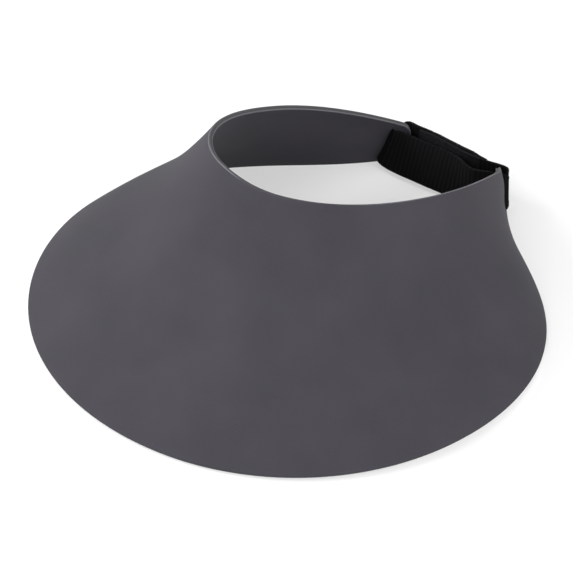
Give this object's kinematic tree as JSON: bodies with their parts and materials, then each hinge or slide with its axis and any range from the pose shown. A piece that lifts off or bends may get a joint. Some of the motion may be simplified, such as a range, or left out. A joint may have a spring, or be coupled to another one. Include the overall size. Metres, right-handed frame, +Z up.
{
  "type": "sun visor",
  "caption": "Wide-brimmed sun visor moulded from one sheet of soft foam, open at the crown and closed at the back by a webbing strap.",
  "frame": {"origin": "middle of the footprint, on the surface that the lower edge of the brim rests on", "axes": "+Z up, -Y towards the front of the brim, +X towards the wearer's left"},
  "size_m": [0.2996, 0.304, 0.1056],
  "materials": {
    "foam": "matte charcoal grey closed-cell foam with a fine skin",
    "webbing": "matte black ribbed elastic with a napped face",
    "closure": "matte black hook-and-loop patch"
  },
  "bodies": {
    "root": {"foam_shell": "foam", "elastic_strap": "webbing", "closure_tab": "closure"}
  },
  "joints": []
}
